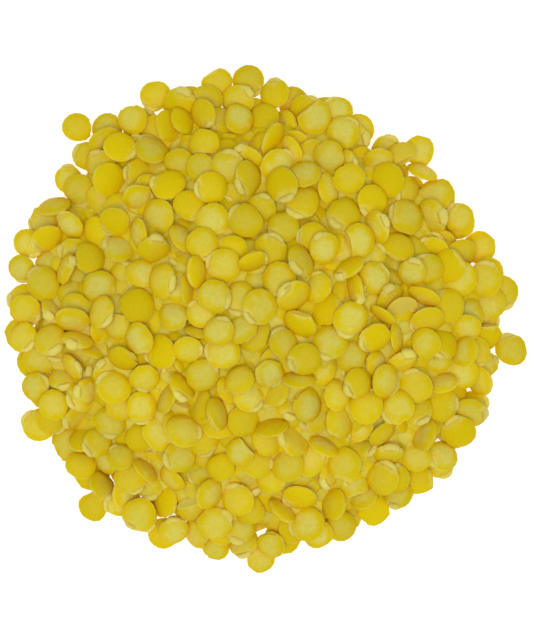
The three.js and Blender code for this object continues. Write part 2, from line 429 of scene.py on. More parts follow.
# %% Helpers for modelling
def open_for_editing(piece):
    bpy.ops.object.select_all(action="DESELECT")
    piece.select_set(True)
    bpy.context.view_layer.objects.active = piece
    bpy.ops.object.mode_set(mode="EDIT")
    bpy.ops.mesh.select_mode(type="FACE")


def select_faces(piece, wanted):
    """Selects only the faces whose middle and normal are wanted."""
    bpy.ops.mesh.select_all(action="DESELECT")
    shape = bmesh.from_edit_mesh(piece.data)
    for face in shape.faces:
        face.select_set(wanted(face.calc_center_median(), face.normal))
    bmesh.update_edit_mesh(piece.data)


def mark_selected(piece, name):
    """Puts the selected corners in a vertex group, made when it is first named."""
    if name in piece.vertex_groups:
        piece.vertex_groups.active = piece.vertex_groups[name]
    else:
        piece.vertex_groups.active = piece.vertex_groups.new(name=name)
    bpy.ops.object.vertex_group_assign()


LEVEL = 0.9  # a normal with more of it upwards or downwards belongs to a level face


def move_selected(x, y, z):
    bpy.ops.transform.translate(value=(x, y, z))


def scale_selected(across, up, centre=(0, 0, 0)):
    bpy.ops.transform.resize(value=(across, across, up), center_override=centre)


# %% [markdown]
# ## The plain lens
#
# A husked lentil is two seed leaves shut like a pair of saucers. The lens starts as a flat
# coin. Both of its faces are inset and drawn apart ring by ring until they are domed, and a
# last poke closes them. The coin's wall stays as a blunt rim.

# %% The plain lens
SIDES = 16
RADIUS = LENTIL_DIAMETER / 2
HALF = RADIUS * PLUMPNESS
RIM_HALF = 0.12  # the blunt rim reaches this far above and below its middle
RING_SHARES = (0.9, 0.58)  # of the radius, from the rim inwards
DOME_POWER = 0.56  # 0.5 would give a flattened sphere, 1 a lens with a sharp rim


def dome_height(share):
    """Height of a lentil's face at a share of its radius."""
    return RIM_HALF + (HALF - RIM_HALF) * (1 - share * share) ** DOME_POWER


def add_lens(name):
    """A plain lens, left open in edit mode."""
    bpy.ops.mesh.primitive_cylinder_add(vertices=SIDES, radius=RADIUS, depth=2 * RIM_HALF)
    lens = bpy.context.object
    lens.name = name
    open_for_editing(lens)
    select_faces(lens, lambda middle, normal: abs(normal.z) > LEVEL)
    share, height = 1, RIM_HALF
    for ring in RING_SHARES:
        bpy.ops.mesh.inset(thickness=(share - ring) * RADIUS * math.cos(math.pi / SIDES))
        scale_selected(1, dome_height(ring) / height)
        share, height = ring, dome_height(ring)
    bpy.ops.mesh.poke(offset=HALF - height)
    return lens


# %% [markdown]
# ## The seam
#
# Where the two seed leaves meet, a fine line runs round the rim. A cut through the middle of
# the lens gives a ring of edges there, and they are drawn in a little.

# %% The seam
SEAM_DEPTH = 0.03  # share of the radius
GAP_MARGIN = 1  # degree, so that the corners at both ends of a gap are left out too


def degrees_round(place):
    """Angle of a place round the lens, from +X."""
    return math.degrees(math.atan2(place.y, place.x))


def add_seam(lens, gap=0):
    """Cuts the seam round the rim, but for a gap in degrees from +X."""
    bpy.ops.mesh.select_all(action="SELECT")
    bpy.ops.mesh.select_mode(type="VERT")
    bpy.ops.mesh.bisect(plane_co=(0, 0, 0), plane_no=(0, 0, 1))
    shape = bmesh.from_edit_mesh(lens.data)
    for corner in shape.verts:
        if gap and -GAP_MARGIN < degrees_round(corner.co) < gap + GAP_MARGIN:
            corner.select_set(False)
    shape.select_flush(False)
    bmesh.update_edit_mesh(lens.data)
    scale_selected(1 - SEAM_DEPTH, 1)
    bpy.ops.mesh.select_mode(type="FACE")


# %% [markdown]
# ## The germ
#
# The germ's small root lies curled against the rim, between the seed leaves, and on most
# lentils it is still there: a cream spindle that ends in a beak. It starts as a short prism laid
# on the rim, half sunk in it. Both of its ends are extruded and turned about the lens's middle a
# few times, and taper as they go. Vertex groups mark it and the groove on its inner side; the
# germ gets its cream later, and the groove a line of painted shade.

# %% The germ
GERM_SIDES = 6
GERM_LENGTH = 0.36  # mm, of the prism that it starts as
HEAD_TAPERS = (0.9, 0.6)  # thickness of each next stretch over that of the last
TAIL_TAPERS = (1.05, 0.88, 0.62)
HEAD_POINT = 0.08  # mm
INWARD = -0.75  # a face turned further than this towards the lens's axis lies in the groove
NEAR = 0.02  # mm, faces whose middle is this close to a place are the ones there


def add_germ(lens, distance, thickness, flatness, beak, turn):
    """Lays a germ along the rim from +X. Its distance from the middle is a share of the
    radius, its thickness and the length of its beak are in mm, and the turn round the lens that
    each further stretch makes is in degrees."""
    middle = Vector((distance * RADIUS, 0, 0))
    bpy.ops.mesh.primitive_cylinder_add(
        vertices=GERM_SIDES, radius=thickness / 2, depth=GERM_LENGTH, location=middle,
        rotation=(math.pi / 2, math.pi / GERM_SIDES, 0), end_fill_type="NGON",
    )
    scale_selected(1, flatness, middle)
    for side, tapers, point in ((-1, HEAD_TAPERS, HEAD_POINT), (1, TAIL_TAPERS, beak)):
        end = middle + Vector((0, side * GERM_LENGTH / 2, 0))
        select_faces(lens, lambda place, normal: (place - end).length < NEAR)
        for taper in tapers:
            bpy.ops.mesh.extrude_region_move()
            bpy.ops.transform.rotate(
                value=-side * math.radians(turn), orient_axis="Z", center_override=(0, 0, 0),
            )
            end.rotate(Euler((0, 0, side * math.radians(turn))))
            scale_selected(taper, taper, end)
        bpy.ops.mesh.poke(offset=point)
    bpy.ops.mesh.select_linked()
    mark_selected(lens, "germ")
    select_faces(lens, lambda place, normal: normal.xy.dot(place.xy.normalized()) < INWARD)
    mark_selected(lens, "groove_shade")


# %% [markdown]
# ## The notch
#
# On some lentils the germ has broken off, which leaves a notch. There a patch of the rim is
# inset and pushed in.

# %% The notch
PATCH_SPAN = 60  # degrees of the rim that the patch covers
PATCH_START = 0.9  # share of the radius
LIP = {"thickness": 0.05, "depth": -0.02}  # mm
NOTCH_HEIGHT = 0.6  # of the notch's bottom, over the height of the patch


def add_notch(lens, depth, width):
    """Pushes in the patch of the rim that a lost germ leaves bare."""
    select_faces(lens, lambda middle, normal: (
        0 < degrees_round(middle) < PATCH_SPAN and middle.xy.length > PATCH_START * RADIUS
    ))
    turn = math.radians(PATCH_SPAN / 2)
    inward = Vector((-math.cos(turn), -math.sin(turn), 0))
    bpy.ops.mesh.inset(**LIP)
    bpy.ops.mesh.extrude_region_move()
    move_selected(*(inward * depth))
    scale_selected(width, NOTCH_HEIGHT, -inward * (RADIUS - depth))
    mark_selected(lens, "broken")


# %% [markdown]
# ## Chips, halves and dents
#
# Husking is rough, so a few lentils have lost a piece of their rim, and some have split into
# their two seed leaves, flat on one side. A bisect with fill cuts these, and a poke and an
# inset make the bare face uneven. A few dried out before they were ripe and are dented: one
# region of a face is pushed in with a soft fall-off.

# %% Chips, halves and dents
HOLLOW = 0.12  # mm, of a chip's bare face
HALF_RIM = {"thickness": 0.12, "depth": 0.03}  # mm, round the flat side of a half, raised
HALF_HOLLOW = {"thickness": 0.5, "depth": -0.06}
DENT_SPAN = 0.45  # share of the radius that a dent pushes in whole
DENT_FADE = 0.5  # and that it fades out over
SAME_CORNER = 0.002  # mm, corners closer than this are merged


def chip(lens, share, slant):
    """Breaks off the rim beyond a share of the radius, on the +X side."""
    bpy.ops.mesh.select_all(action="SELECT")
    bpy.ops.mesh.bisect(
        plane_co=(share * RADIUS, 0, 0), plane_no=(1, slant, slant), use_fill=True, clear_outer=True,
    )
    bpy.ops.mesh.poke(offset=-HOLLOW)
    mark_selected(lens, "broken")


def split(lens):
    """Leaves the lower seed leaf, whose upper side is flat and a little hollow."""
    bpy.ops.mesh.select_all(action="SELECT")
    bpy.ops.mesh.bisect(plane_co=(0, 0, 0), plane_no=(0, 0, 1), use_fill=True, clear_outer=True)
    for step in (HALF_RIM, HALF_HOLLOW):
        bpy.ops.mesh.inset(**step)
        mark_selected(lens, "broken")
    bpy.ops.mesh.poke()
    mark_selected(lens, "broken")


def dent(lens, x, y, depth):
    """Pushes in both faces round x, y."""
    for side in (1, -1):
        place = Vector((x, y, side * HALF))
        select_faces(lens, lambda middle, normal: (middle - place).length < DENT_SPAN * RADIUS)
        bpy.ops.transform.translate(
            value=(0, 0, -side * depth), use_proportional_edit=True,
            proportional_edit_falloff="SMOOTH", proportional_size=DENT_FADE * RADIUS,
        )


def close(lens):
    """Leaves edit mode, with all faces turned outwards."""
    bpy.ops.mesh.select_all(action="SELECT")
    bpy.ops.mesh.remove_doubles(threshold=SAME_CORNER)
    bpy.ops.mesh.normals_make_consistent(inside=False)
    bpy.ops.object.mode_set(mode="OBJECT")
    print(lens.name, len(lens.data.polygons), "faces")
    return lens


# %% [markdown]
# ## The kinds
#
# All kinds but the halves have a few models, so that no shape is repeated much more than a
# hundred times. Whole lentils differ in how long their germ is and how far it stands out.

# %% Modelling the kinds
GERMS = [  # distance from the middle, thickness, flatness, length of the beak and turn
    (0.88, 1, 1.45, 0.2, 10), (0.84, 1.1, 1.5, 0.15, 8), (0.93, 0.9, 1.4, 0.45, 11),
    (0.87, 0.85, 1.75, 0.25, 13), (0.95, 0.75, 1.5, 0.3, 9), (0.83, 1.2, 1.35, 0.3, 11),
]
NOTCHES = [(0.22, 0.7), (0.3, 0.5)]  # depth in mm, width as a share of the patch
CHIPS = [(0.78, 0.15), (0.62, -0.2), (0.88, 0.3)]  # share of the radius, slant
DENTS = [(0.9, 0.4, 0.3), (-0.5, 0.8, 0.4)]  # x, y and depth in mm


def model_whole(*germ):
    lens = add_lens("whole")
    add_seam(lens)
    add_germ(lens, *germ)
    return close(lens)


def model_notched(depth, width):
    lens = add_lens("notched")
    add_notch(lens, depth, width)
    add_seam(lens, PATCH_SPAN)
    return close(lens)


def model_chipped(share, slant):
    lens = add_lens("chipped")
    add_seam(lens)
    chip(lens, share, slant)
    return close(lens)


def model_split():
    lens = add_lens("split")
    split(lens)
    return close(lens)


def model_dented(x, y, depth):
    lens = add_lens("dented")
    add_seam(lens)
    add_germ(lens, *GERMS[0])
    dent(lens, x, y, depth)
    return close(lens)


kinds = {
    "whole_lentils": [model_whole(*germ) for germ in GERMS],
    "notched_lentils": [model_notched(*notch) for notch in NOTCHES],
    "chipped_lentils": [model_chipped(*chipping) for chipping in CHIPS],
    "split_lentils": [model_split()],
    "dented_lentils": [model_dented(*denting) for denting in DENTS],
}

# %% [markdown]
# ## Copying them to their places
#
# Every lentil of the pour becomes a copy of a model of its kind, with its own mesh. Copies
# of one kind are joined in arrays into one piece, which is far quicker than joining hundreds
# of objects. Each copy is scaled to its lentil's size, warped a little out of round, turned by
# chance round its own axis, and laid along it. For its material it keeps where each corner was
# on the plain lens, how deep in the heap it lies now, how near it is to the germ, the groove or
# a broken face, and a few draws of the lentil's own for its tone.

# %% Choosing kinds
chance = np.random.default_rng(seed=7)
KIND_SHARES = {
    "whole_lentils": 0.69, "notched_lentils": 0.13, "chipped_lentils": 0.07,
    "split_lentils": 0.03, "dented_lentils": 0.08,
}
STEEP = math.radians(55)  # a lentil that stands this steeply is often a thin half
STEEP_SPLIT = 0.35

names = list(KIND_SHARES)
members = {name: [] for name in names}
for lentil in lentils:
    steep = math.acos(lentil["axis"][2]) > STEEP
    if steep and chance.random() < STEEP_SPLIT:
        name = "split_lentils"
    else:
        name = names[chance.choice(len(names), p=list(KIND_SHARES.values()))]
    members[name].append(lentil)
print({name: len(group) for name, group in members.items()})

# %% One copy
WARPS = {2: 0.035, 3: 0.022, 4: 0.012}  # waves round the rim, and the usual share of each
UNEVEN = 0.01  # usual share that one side of a rim stands out or back
WORN = 3.5  # times as uneven, on a worn lentil
WORN_SHARE = 0.2
MOST_WARP = 1.05
POINTEDNESS = 0.07  # at most, that the rim stands out at the germ
POINT_POWER = 4  # the higher, the shorter the stretch of rim that stands out
GERM_FADE = 0.4  # mm that the germ's cream spreads over the faces round it
SHARP_FADE = 0.05
FLAT_ON_SURFACE = 0.1  # mm, that the middle may lie higher than half the thickness


def group_weights(model, name, corners, reach):
    """1 at the corners of a vertex group, fading out round them within a reach in mm."""
    if name not in model.vertex_groups:
        return np.zeros(len(corners))
    group = model.vertex_groups[name].index
    marked = [any(part.group == group for part in corner.groups) for corner in model.data.vertices]
    away = np.linalg.norm(corners[:, None] - corners[marked][None], axis=2).min(axis=1)
    return np.exp(-(away / reach) ** 2)


def model_arrays(model):
    """Corners, faces and group weights of a model, which is then deleted."""
    corners = np.array([corner.co for corner in model.data.vertices])
    faces = [tuple(face.vertices) for face in model.data.polygons]
    weights = {
        "germ": group_weights(model, "germ", corners, GERM_FADE),
        "groove_shade": group_weights(model, "groove_shade", corners, SHARP_FADE),
        "broken": group_weights(model, "broken", corners, SHARP_FADE),
    }
    bpy.data.objects.remove(model)
    return corners, faces, weights


def laid_copy(corners, lentil, turned_over):
    """A model's corners, in mm, as one lentil of the heap, kept between the surface and the
    heap's top. How often it is turned over is a share of 1. One that lies flat on the surface
    is let down onto it, as a thin half would hang over it in a whole lentil's place."""
    placed = corners * (lentil["radius"] / RADIUS, lentil["radius"] / RADIUS, lentil["half"] / HALF)
    angle = np.arctan2(placed[:, 1], placed[:, 0])
    warp = 1 + chance.uniform(0, POINTEDNESS) * np.maximum(0, np.cos(angle)) ** POINT_POWER
    for waves, usual in WARPS.items():
        warp += usual * chance.normal() * np.cos(waves * angle + chance.uniform(0, math.tau))
    uneven = UNEVEN * (WORN if chance.random() < WORN_SHARE else 1) * chance.normal(size=SIDES)
    warp += np.interp(angle, np.linspace(0, math.tau, SIDES, False), uneven, period=math.tau)
    placed[:, :2] *= np.minimum(warp, MOST_WARP)[:, None]
    if chance.random() < turned_over:
        placed *= (1, -1, -1)
    spin = chance.uniform(0, math.tau)
    axis = np.array(lentil["axis"])
    side = np.cross(axis, (math.cos(spin), math.sin(spin), 0))
    side /= np.linalg.norm(side)
    ahead = np.cross(axis, side)
    laid = placed @ np.array([side, ahead, axis]) + (lentil["x"], lentil["y"], lentil["z"])
    if lentil["z"] < lentil["half"] + FLAT_ON_SURFACE:
        laid[:, 2] -= laid[:, 2].min()
    laid[:, 2] = np.clip(laid[:, 2], 0, cad_size.z)
    return laid


# %% One piece for each kind
def joined_piece(name, corners, faces, attributes):
    """A mesh object in metres from arrays in mm. An attribute has a number or a vector for
    each corner."""
    mesh = bpy.data.meshes.new(name)
    mesh.from_pydata(np.concatenate(corners) * MM, [], faces)
    for label, copies in attributes.items():
        values = np.concatenate(copies).astype(np.float32)
        kind, socket = ("FLOAT", "value") if values.ndim == 1 else ("FLOAT_VECTOR", "vector")
        mesh.attributes.new(label, kind, "POINT").data.foreach_set(socket, values.ravel())
    piece = bpy.data.objects.new(name, mesh)
    bpy.context.collection.objects.link(piece)
    return piece


TURNED_OVER = {"split_lentils": 0.85}  # of a kind; a half mostly comes to lie on its flat side
EITHER_WAY = 0.5  # the other kinds lie as often one way up as the other
LABELS = ("own_place", "own_tone", "depth", "germ", "groove_shade", "broken")
pieces = {}
for name, models in kinds.items():
    ready = [model_arrays(model) for model in models]
    corners, faces, attributes = [], [], {label: [] for label in LABELS}
    first = 0
    for number, lentil in enumerate(members[name]):
        model_corners, model_faces, weights = ready[number % len(ready)]
        laid = laid_copy(model_corners, lentil, TURNED_OVER.get(name, EITHER_WAY))
        corners.append(laid)
        faces += [tuple(corner + first for corner in face) for face in model_faces]
        first += len(laid)
        attributes["own_place"].append(model_corners / (RADIUS, RADIUS, HALF))
        attributes["own_tone"].append(np.tile(chance.random(3), (len(laid), 1)))
        attributes["depth"].append(heap_form(laid[:, 0], laid[:, 1]) - laid[:, 2])
        for label, values in weights.items():
            attributes[label].append(values)
    pieces[name] = joined_piece(name, corners, faces, attributes)
    print(name, len(members[name]), "lentils,", len(faces), "faces")

# %% [markdown]
# ## Smooth faces
#
# A lentil's flat faces should look like one rounded surface, but its breaks are crisp. Shading
# smooth by angle gives both, as it keeps only the edges sharp that turn by more than that angle.
# A germ has only six sides, which turn by more, so its own edges are set smooth again.

# %% Smooth faces
CREASE_ANGLE = math.radians(35)  # sharper edges than this stay sharp, but for those of a germ
GERM_WEIGHT = 0.99  # and more is on the germ itself
bpy.ops.object.select_all(action="DESELECT")
for piece in pieces.values():
    piece.select_set(True)
    bpy.context.view_layer.objects.active = piece
bpy.ops.object.shade_smooth_by_angle(angle=CREASE_ANGLE)
for piece in pieces.values():
    mesh = piece.data
    germ_weights = np.empty(len(mesh.vertices), np.float32)
    mesh.attributes["germ"].data.foreach_get("value", germ_weights)
    ends = np.empty(2 * len(mesh.edges), int)
    mesh.edges.foreach_get("vertices", ends)
    on_germ = (germ_weights[ends] > GERM_WEIGHT).reshape(-1, 2).all(axis=1)
    sharp = np.empty(len(mesh.edges), bool)
    mesh.attributes["sharp_edge"].data.foreach_get("value", sharp)
    mesh.attributes["sharp_edge"].data.foreach_set("value", sharp & ~on_germ)

# %% [markdown]
# ## The core
#
# Between the lentils that show, the eye meets others, deeper and in shade. The loose layer
# hides nearly all of what lies under it, so one low lumpy body is enough there. It starts as
# a disc, inset ring by ring, whose corners rise to just under the loose layer. Its wall
# reaches down to the surface that the heap lies on.

# %% The core
CORE_SIDES = 96
CORE_RINGS = 26
CORE_EDGE = 5.5  # mm inside the outline
CORE_FOOT = 0.7  # its least height
CORE_TOP = 4.4  # below the form
LUMP = 0.35  # mm, usual height of its lumps


def add_core():
    bpy.ops.mesh.primitive_cylinder_add(vertices=CORE_SIDES, radius=1, depth=1)
    core = bpy.context.object
    core.name = "heap_core"
    open_for_editing(core)
    select_faces(core, lambda middle, normal: normal.z > LEVEL)
    for ring in range(CORE_RINGS):
        bpy.ops.mesh.inset(thickness=math.cos(math.pi / CORE_SIDES) / (CORE_RINGS + 1))
    bpy.ops.mesh.poke()
    bpy.ops.object.mode_set(mode="OBJECT")
    corners = np.array([corner.co for corner in core.data.vertices])
    angle = np.arctan2(corners[:, 1], corners[:, 0])
    distance = np.hypot(corners[:, 0], corners[:, 1]) * (heap_radius(angle) - CORE_EDGE)
    x, y = distance * np.cos(angle), distance * np.sin(angle)
    top = np.maximum(CORE_FOOT, heap_form(x, y) - CORE_TOP + LUMP * chance.normal(size=len(x)))
    z = np.where(corners[:, 2] > 0, top, 0)
    core.data.vertices.foreach_set("co", (np.stack([x, y, z], axis=1) * MM).ravel())
    core.data.update()
    return core


core = add_core()
bpy.ops.object.shade_smooth_by_angle(angle=CREASE_ANGLE)
print("core:", len(core.data.polygons), "faces,", round(core.dimensions.z / MM, 1), "mm high")

# %% [markdown]
# ## Colours and nodes
#
# Colours are written as sRGB hex values, as a colour picker shows them, and turned to the
# linear values that Blender works with. One helper adds a node, sets it and links it, and gives
# the output that the next node reads.

# %% Helpers for materials
def linear(hex_colour):
    """An sRGB hex colour as linear red, green, blue and alpha."""
    shares = [int(hex_colour[k:k + 2], 16) / 255 for k in (1, 3, 5)]
    curve = [s / 12.92 if s <= 0.04045 else ((s + 0.055) / 1.055) ** 2.4 for s in shares]
    return (*curve, 1)


def add_node(material, kind, inputs, output=0, **settings):
    """Adds a node and gives one of its outputs. Its inputs are given by name or number, each as
    a value or as another node's output."""
    tree = material.node_tree
    node = tree.nodes.new(kind)
    for name, value in settings.items():
        setattr(node, name, value)
    for place, value in inputs.items():
        if isinstance(value, bpy.types.NodeSocket):
            tree.links.new(value, node.inputs[place])
        else:
            node.inputs[place].default_value = value
    return node.outputs[output]


MIX_A, MIX_B, MIX_RESULT = 6, 7, 2  # the colour sockets of a Mix node
FROM_MIN, FROM_MAX, TO_MIN, TO_MAX = 1, 2, 3, 4  # the sockets of a Map Range node
SMOOTH = {"interpolation_type": "SMOOTHSTEP"}  # a Map Range node that starts and ends gently


def new_material(name, roughness, **values):
    """A material and its Principled shader, with values for sockets that are even all over."""
    material = bpy.data.materials.new(name)
    material.use_nodes = True
    shader = material.node_tree.nodes["Principled BSDF"]
    shader.inputs["Roughness"].default_value = roughness
    for socket, value in values.items():
        shader.inputs[socket.replace("_", " ")].default_value = value
    return material, shader


# %% [markdown]
# ## The husked lentil
#
# Under its husk a yellow lentil is dense starch and protein, coloured by carotenoids. Rubbing
# the husk off leaves it matt, so the shader is rough and hardly reflects. Light goes a short
# way in, which softens the shade. All the lentils share one material, and attributes of the
# mesh tell it which lentil it is on and where.

# %% The husked lentil
husked, husked_shader = new_material(  # matt and dense, like unglazed china that lets in light
    "husked_lentil", roughness=0.6, Specular_IOR_Level=0.12, IOR=1.45,
    Subsurface_Weight=0.2, Subsurface_Radius=(1, 0.6, 0.12), Subsurface_Scale=0.0006,
)
for piece in pieces.values():
    piece.data.materials.append(husked)

own_place = add_node(husked, "ShaderNodeAttribute", {}, "Vector", attribute_name="own_place")
own_tone = add_node(husked, "ShaderNodeAttribute", {}, "Vector", attribute_name="own_tone")
germ = add_node(husked, "ShaderNodeAttribute", {}, "Fac", attribute_name="germ")
groove_shade = add_node(husked, "ShaderNodeAttribute", {}, "Fac", attribute_name="groove_shade")
broken = add_node(husked, "ShaderNodeAttribute", {}, "Fac", attribute_name="broken")
depth = add_node(husked, "ShaderNodeAttribute", {}, "Fac", attribute_name="depth")
dusty, lightness, creaminess = add_node(husked, "ShaderNodeSeparateXYZ", {0: own_tone}).node.outputs

# %% [markdown]
# ## Three sizes of unevenness
#
# A lentil's tone changes slowly from one side to the other, its flour lies in small patches,
# and its rubbed surface has a grain as fine as dust. Each is a noise at its own real size.

# %% Three sizes of unevenness
BLOTCH = 1.6  # mm, size of the slow changes over a lentil
MOTTLE = 0.5  # mm, size of the floury patches
GRAIN = 0.12  # mm, size of the rubbed surface's grain

place = add_node(husked, "ShaderNodeTexCoord", {}, "Object")
blotch = add_node(husked, "ShaderNodeTexNoise", {
    "Vector": place, "Scale": 1 / (BLOTCH * MM), "Detail": 1,
})
mottle = add_node(husked, "ShaderNodeTexNoise", {
    "Vector": place, "Scale": 1 / (MOTTLE * MM), "Detail": 4, "Roughness": 0.65,
})
grain = add_node(husked, "ShaderNodeTexNoise", {"Vector": place, "Scale": 1 / (GRAIN * MM)})

# %% [markdown]
# ## Floury faces
#
# The faces were rubbed most and are dusty with flour, and the rim stays a clear gold. The
# distance from the lentil's own axis tells face from rim, and noise makes the border wander.
# How dusty a lentil is differs from one to the next.

# %% Floury faces
GOLD = "#EED500"
FLOURY = "#EEE56C"
WANDER = 0.9  # radii for each 1 of the noise, which is about 0.5 on average
CLEAR_RIM, FULL_FLOUR = 1.38, 0.8  # radii from the axis, with the noise added

flat = add_node(husked, "ShaderNodeVectorMath", {0: own_place, 1: (1, 1, 0)}, operation="MULTIPLY")
off_axis = add_node(husked, "ShaderNodeVectorMath", {0: flat}, "Value", operation="LENGTH")
wander = add_node(husked, "ShaderNodeMath", {
    0: blotch, 1: WANDER, 2: off_axis,
}, operation="MULTIPLY_ADD")
face = add_node(husked, "ShaderNodeMapRange", {
    "Value": wander, FROM_MIN: CLEAR_RIM, FROM_MAX: FULL_FLOUR,
}, **SMOOTH)
patchy = add_node(husked, "ShaderNodeMapRange", {
    "Value": mottle, FROM_MIN: 0.3, FROM_MAX: 0.68, TO_MIN: 0.4, TO_MAX: 1,
}, **SMOOTH)
dust = add_node(husked, "ShaderNodeMapRange", {"Value": dusty, TO_MIN: -0.05, TO_MAX: 1.35})
flour = add_node(husked, "ShaderNodeMath", {0: face, 1: dust}, operation="MULTIPLY")
flour = add_node(husked, "ShaderNodeMath", {0: flour, 1: patchy}, operation="MULTIPLY")
colour = add_node(husked, "ShaderNodeMix", {
    0: flour, MIX_A: linear(GOLD), MIX_B: linear(FLOURY),
}, MIX_RESULT, data_type="RGBA")

# %% [markdown]
# ## Painted shade: deeper gold in the gaps
#
# Down in the gaps all the light has already bounced off or come through other lentils, and
# each time it gets yellower. The render follows only a few such bounces, so the gaps get painted
# shade: three things tint them a deeper gold, the depth below the heap's form, an Ambient
# Occlusion node, which tells how much other lentils close by shut out, and how far a face turns
# away from the sky.

# %% Painted shade in the gaps
# painted shade: the gold that gaps, creases and sides turned from the sky are tinted with
SHADE_GOLD = "#F8C600"
TINT_STARTS, TINT_FULL = 0.4, 2.2  # mm below the form
NEARBY = 0.9  # mm, how near another lentil shuts out light
NEARBY_RAYS = 4  # enough, as every sample of the render sends its own

sunken_shade = add_node(husked, "ShaderNodeMapRange", {
    "Value": depth, FROM_MIN: TINT_STARTS, FROM_MAX: TINT_FULL, TO_MIN: 0, TO_MAX: 0.8,
}, **SMOOTH)
openness = add_node(
    husked, "ShaderNodeAmbientOcclusion", {"Distance": NEARBY * MM}, "AO", samples=NEARBY_RAYS,
)
crevice_shade = add_node(husked, "ShaderNodeMapRange", {
    "Value": openness, FROM_MIN: 0.8, FROM_MAX: 0.2, TO_MIN: 0, TO_MAX: 0.6,
})
normal = add_node(husked, "ShaderNodeNewGeometry", {}, "Normal")
upward = add_node(husked, "ShaderNodeSeparateXYZ", {0: normal}, "Z")
turned_away_shade = add_node(husked, "ShaderNodeMapRange", {
    "Value": upward, FROM_MIN: 0.9, FROM_MAX: 0.3, TO_MIN: 0, TO_MAX: 0.5,
}, **SMOOTH)
painted_shade = add_node(husked, "ShaderNodeMath", {0: sunken_shade, 1: crevice_shade}, operation="MAXIMUM")
painted_shade = add_node(husked, "ShaderNodeMath", {0: painted_shade, 1: turned_away_shade}, operation="MAXIMUM")
colour = add_node(husked, "ShaderNodeMix", {
    0: painted_shade, MIX_A: colour, MIX_B: linear(SHADE_GOLD),
}, MIX_RESULT, data_type="RGBA")

# %% [markdown]
# ## The edge and its painted highlight
#
# Where the two seed leaves meet, a pale line runs round the rim: partly their thin edges, which
# are paler, and partly a painted highlight where the rim catches the light. The height over the
# lentil's own middle finds them, and the slow noise leaves arcs of them out.

# %% The edge and its painted highlight
# a pale line, partly the thin edges' own paler colour and partly a painted highlight
PALE_EDGE_AND_HIGHLIGHT = "#F4E35C"

up = add_node(husked, "ShaderNodeSeparateXYZ", {0: own_place}, "Z")
off_middle = add_node(husked, "ShaderNodeMath", {0: up}, operation="ABSOLUTE")
edge = add_node(husked, "ShaderNodeMapRange", {
    "Value": off_middle, FROM_MIN: 0.36, FROM_MAX: 0.1, TO_MIN: 0, TO_MAX: 0.8,
}, **SMOOTH)
arcs = add_node(husked, "ShaderNodeMapRange", {
    "Value": blotch, FROM_MIN: 0.4, FROM_MAX: 0.6, TO_MIN: 0.2, TO_MAX: 1,
}, **SMOOTH)
edge = add_node(husked, "ShaderNodeMath", {0: edge, 1: arcs}, operation="MULTIPLY")
colour = add_node(husked, "ShaderNodeMix", {
    0: edge, MIX_A: colour, MIX_B: linear(PALE_EDGE_AND_HIGHLIGHT),
}, MIX_RESULT, data_type="RGBA")

# %% [markdown]
# ## The germ's cream
#
# The germ has no carotenoids: it is cream, and the faces round it are pale too. The groove beside
# it gets a duller line of painted shade. Noise makes the border ragged. Lentils differ in how
# strong the line is and how far the paleness goes.

# %% The germ's cream
PALE = "#F8E668"
CREAM = "#FFEE7C"
# the groove's duller line is painted shade
GROOVE_SHADE = "#E8C44C"

ragged_germ = add_node(husked, "ShaderNodeMath", {
    0: mottle, 1: 0.8, 2: germ,
}, operation="MULTIPLY_ADD")
pale = add_node(husked, "ShaderNodeMapRange", {
    "Value": ragged_germ, FROM_MIN: 0.45, FROM_MAX: 1.2,
}, **SMOOTH)
paleness = add_node(husked, "ShaderNodeMapRange", {"Value": creaminess, TO_MIN: 0.35, TO_MAX: 1})
pale = add_node(husked, "ShaderNodeMath", {0: pale, 1: paleness}, operation="MULTIPLY")
cream = add_node(husked, "ShaderNodeMapRange", {
    "Value": ragged_germ, FROM_MIN: 1.15, FROM_MAX: 1.5, TO_MIN: 0, TO_MAX: 0.9,
}, **SMOOTH)
groove_shade = add_node(husked, "ShaderNodeMath", {0: groove_shade, 1: paleness}, operation="MULTIPLY")
for amount, tint in ((pale, PALE), (cream, CREAM), (groove_shade, GROOVE_SHADE)):
    colour = add_node(husked, "ShaderNodeMix", {
        0: amount, MIX_A: colour, MIX_B: linear(tint),
    }, MIX_RESULT, data_type="RGBA")

# %% [markdown]
# ## Bare faces, tone and relief
#
# Where a lentil broke, its inside shows, paler and without flour, and it takes the same painted
# shade in the gaps. Each lentil is a little lighter or darker than the next, and the grain's
# hollows are darkened a little, as painted shade. The same three noises raise the surface, each
# by a height that fits its size.

# %% Bare faces
BARE = "#F2E260"

bare = add_node(husked, "ShaderNodeMix", {
    0: patchy, MIX_A: linear(FLOURY), MIX_B: linear(BARE),
}, MIX_RESULT, data_type="RGBA")
# broken faces take the same painted shade in the gaps
bare = add_node(husked, "ShaderNodeMix", {
    0: painted_shade, MIX_A: bare, MIX_B: linear(SHADE_GOLD),
}, MIX_RESULT, data_type="RGBA")
colour = add_node(husked, "ShaderNodeMix", {
    0: broken, MIX_A: colour, MIX_B: bare,
}, MIX_RESULT, data_type="RGBA")

# %% Tone and relief
tone_and_grain_shade = add_node(husked, "ShaderNodeMapRange", {"Value": lightness, TO_MIN: 0.9, TO_MAX: 1.06})
# painted shade: the grain's low places, which the bump sinks, are darkened
grain_hollow_shade = add_node(husked, "ShaderNodeMapRange", {
    "Value": grain, FROM_MIN: 0.3, FROM_MAX: 0.7, TO_MIN: 0.95, TO_MAX: 1.04,
})
tone_and_grain_shade = add_node(husked, "ShaderNodeMath", {0: tone_and_grain_shade, 1: grain_hollow_shade}, operation="MULTIPLY")
colour = add_node(husked, "ShaderNodeVectorMath", {0: colour, "Scale": tone_and_grain_shade}, operation="SCALE")
husked.node_tree.links.new(colour, husked_shader.inputs["Base Color"])

